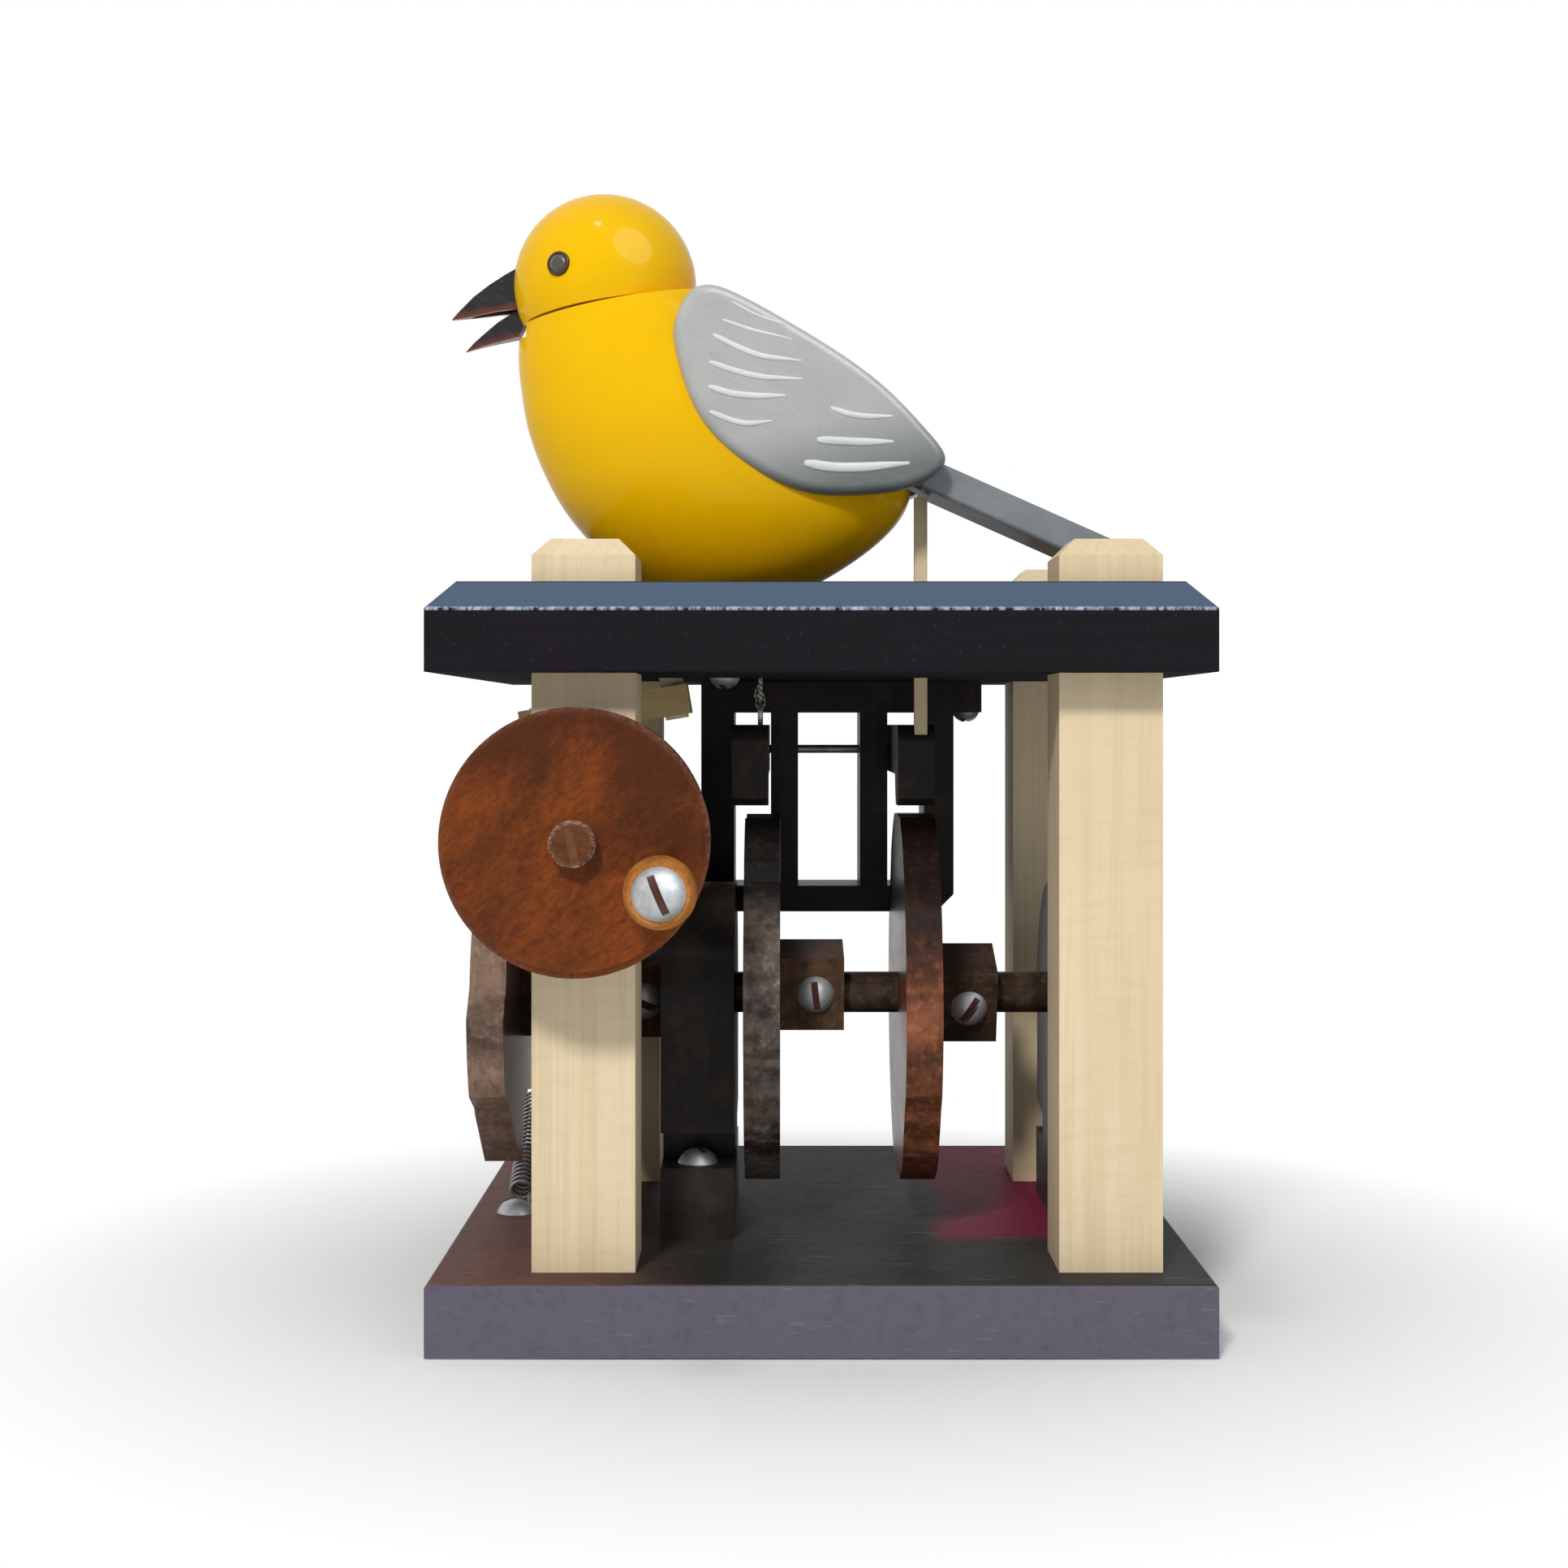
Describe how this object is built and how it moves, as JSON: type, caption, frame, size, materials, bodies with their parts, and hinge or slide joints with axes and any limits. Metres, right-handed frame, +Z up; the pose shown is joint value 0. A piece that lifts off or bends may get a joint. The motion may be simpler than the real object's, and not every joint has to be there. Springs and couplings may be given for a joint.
{
  "type": "wooden crank automaton",
  "caption": "Hand-cranked wooden automaton: a worm-driven camshaft between two plates moves a songbird's beak, tail and head.",
  "frame": {"origin": "centre of the base plate's underside", "axes": "+Z up; the bird faces -X; +Y is the rear, the crank is at the front (-Y)"},
  "size_m": [0.1226, 0.143, 0.1863],
  "materials": {
    "black_lacquer": "gloss lacquer",
    "black_stain": "satin stain",
    "maple": "bare",
    "rosewood": "oiled",
    "knob_wood": "oiled",
    "walnut": "satin",
    "steel": "bright",
    "yellow_paint": "gloss paint",
    "grey_paint": "satin paint",
    "beak_paint": "satin paint",
    "eye_paint": "gloss",
    "thread": "twisted thread"
  },
  "bodies": {
    "frame": {"base_plate": "black_lacquer", "beak_thread_upper": "thread", "bird_body": "yellow_paint", "bird_mounting_screw": "steel", "foot_screws": "steel", "head_return_spring": "steel", "lever_frame_bottom_rail": "black_stain", "lever_frame_cheeks": "black_stain", "lever_frame_screw": "steel", "lever_frame_top_rail": "black_stain", "lever_pivot_rod": "steel", "post_front_left": "maple", "post_front_right": "maple", "post_rear_left": "maple", "post_rear_right": "maple", "post_screws": "steel", "rocker_pivot_screw": "steel", "rocker_spacer": "maple", "spring_screw": "steel", "tail_hinge_pin": "steel", "top_plate": "black_lacquer", "upright_left": "black_stain", "upright_right": "black_stain", "wing_front": "grey_paint", "wing_rear": "grey_paint"},
    "crank": {"crank_shaft": "rosewood", "crank_wedge": "rosewood", "crank_disc": "rosewood", "crank_hub": "walnut", "crank_collar": "walnut", "worm": "maple", "knob_screw": "steel"},
    "knob": {"crank_knob": "knob_wood"},
    "camshaft": {"camshaft": "walnut", "beak_cam": "walnut", "tail_cam": "walnut", "head_cam": "walnut", "beak_cam_hub": "walnut", "tail_cam_hub": "walnut", "head_cam_hub": "walnut", "pin_wheel_hub": "walnut", "hub_set_screws": "steel", "pin_wheel": "walnut", "wheel_pins": "maple"},
    "beak_lever": {"beak_lever": "black_stain", "thread_screw_eye": "steel"},
    "beak_thread": {"beak_thread": "thread"},
    "tail_lever": {"tail_lever": "black_stain"},
    "tail_rod": {"tail_push_rod": "maple"},
    "tail": {"tail_board": "grey_paint"},
    "head_rocker": {"head_rocker": "maple"},
    "head_link": {"head_link": "steel"},
    "head": {"head": "yellow_paint", "eyes": "eye_paint", "beak_upper": "beak_paint", "jaw_hinge_pin": "steel", "neck_dowel": "maple", "neck_arm": "maple"},
    "jaw": {"beak_lower": "beak_paint"}
  },
  "joints": [
    {"name": "camshaft_turn", "type": "hinge", "parent": "frame", "child": "camshaft", "pos_m": [0, -0.0069, 0.0494], "axis": [1, 0, 0], "continuous": true},
    {"name": "crank_turn", "type": "hinge", "parent": "frame", "child": "crank", "pos_m": [-0.0366, -0.05, 0.0782], "axis": [0, 1, 0], "continuous": true},
    {"name": "knob_spin", "type": "hinge", "parent": "crank", "child": "knob", "pos_m": [-0.0234, -0.075, 0.0716], "axis": [0, 1, 0], "continuous": true},
    {"name": "beak_lever_tilt", "type": "hinge", "parent": "frame", "child": "beak_lever", "pos_m": [-0.01145, 0.034, 0.091], "axis": [1, 0, 0], "range_deg": [0, 2.94]},
    {"name": "beak_thread_pull", "type": "slide", "parent": "frame", "child": "beak_thread", "axis": [0, 0, 1], "range_m": [-0.0022, 0]},
    {"name": "jaw_swing", "type": "hinge", "parent": "head", "child": "jaw", "pos_m": [-0.0482, -0.01, 0.1672], "axis": [0, 1, 0], "range_deg": [0, 19]},
    {"name": "tail_lever_tilt", "type": "hinge", "parent": "frame", "child": "tail_lever", "pos_m": [0.017, 0.034, 0.091], "axis": [1, 0, 0], "range_deg": [0, 1.47]},
    {"name": "tail_rod_slide", "type": "slide", "parent": "frame", "child": "tail_rod", "axis": [0, 0, 1], "range_m": [-0.0012, 0]},
    {"name": "tail_tilt", "type": "hinge", "parent": "frame", "child": "tail", "pos_m": [0.008, -0.01, 0.14251], "axis": [0, 1, 0], "range_deg": [0, 4.6]},
    {"name": "head_rocker_tilt", "type": "hinge", "parent": "frame", "child": "head_rocker", "pos_m": [-0.0536, 0.0296, 0.056], "axis": [-1, 0, 0], "range_deg": [0, 8], "deforming": ["head_return_spring"]},
    {"name": "head_link_slide", "type": "slide", "parent": "frame", "child": "head_link", "axis": [0, 1, 0], "range_m": [0, 0.0051]},
    {"name": "head_turn", "type": "hinge", "parent": "frame", "child": "head", "pos_m": [-0.03554, -0.01, 0.16616], "axis": [0.165, 0, -0.9863], "range_deg": [0, 12]}
  ],
  "couplings": [
    {"joint": "crank_turn", "follows": "camshaft_turn", "ratio": 16},
    {"joint": "beak_thread_pull", "follows": "beak_lever_tilt", "m_per_rad": -0.042},
    {"joint": "jaw_swing", "follows": "beak_lever_tilt", "ratio": 6.4552},
    {"joint": "tail_rod_slide", "follows": "tail_lever_tilt", "m_per_rad": -0.044},
    {"joint": "tail_tilt", "follows": "tail_lever_tilt", "ratio": 3.0797},
    {"joint": "head_link_slide", "follows": "head_rocker_tilt", "m_per_rad": 0.0355},
    {"joint": "head_turn", "follows": "head_rocker_tilt", "ratio": 1.4875}
  ]
}
